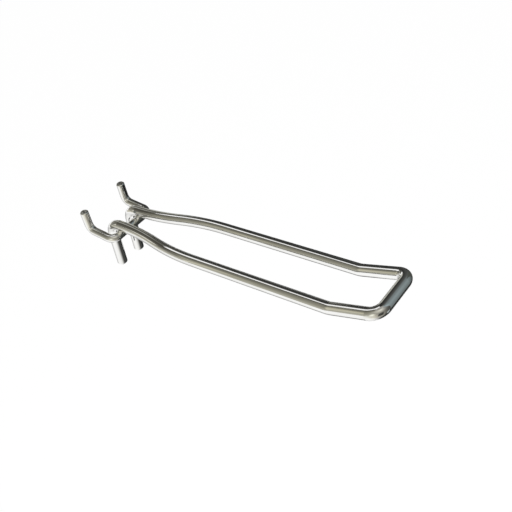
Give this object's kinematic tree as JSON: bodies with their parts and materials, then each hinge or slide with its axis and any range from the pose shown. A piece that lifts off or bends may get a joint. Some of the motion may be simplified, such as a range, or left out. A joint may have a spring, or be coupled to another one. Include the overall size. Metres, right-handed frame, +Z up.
{
  "type": "pegboard hook",
  "caption": "Bent-wire hook for perforated board: a long closed loop with an upturned front, legs that brace against the board, and a welded cross wire ending in upturned pegs.",
  "frame": {"origin": "on the board's front face, midway between the two holes that take the pegs", "axes": "+X straight out of the board, +Z up along the board, +Y to the right for someone who faces the board"},
  "size_m": [0.1662, 0.0296, 0.057],
  "materials": {
    "plated_loop_wire": "bright plated steel wire",
    "plated_peg_wire": "bright plated steel wire with bare cut ends"
  },
  "bodies": {
    "root": {"loop_wire": "plated_loop_wire", "peg_wire": "plated_peg_wire"}
  },
  "joints": []
}
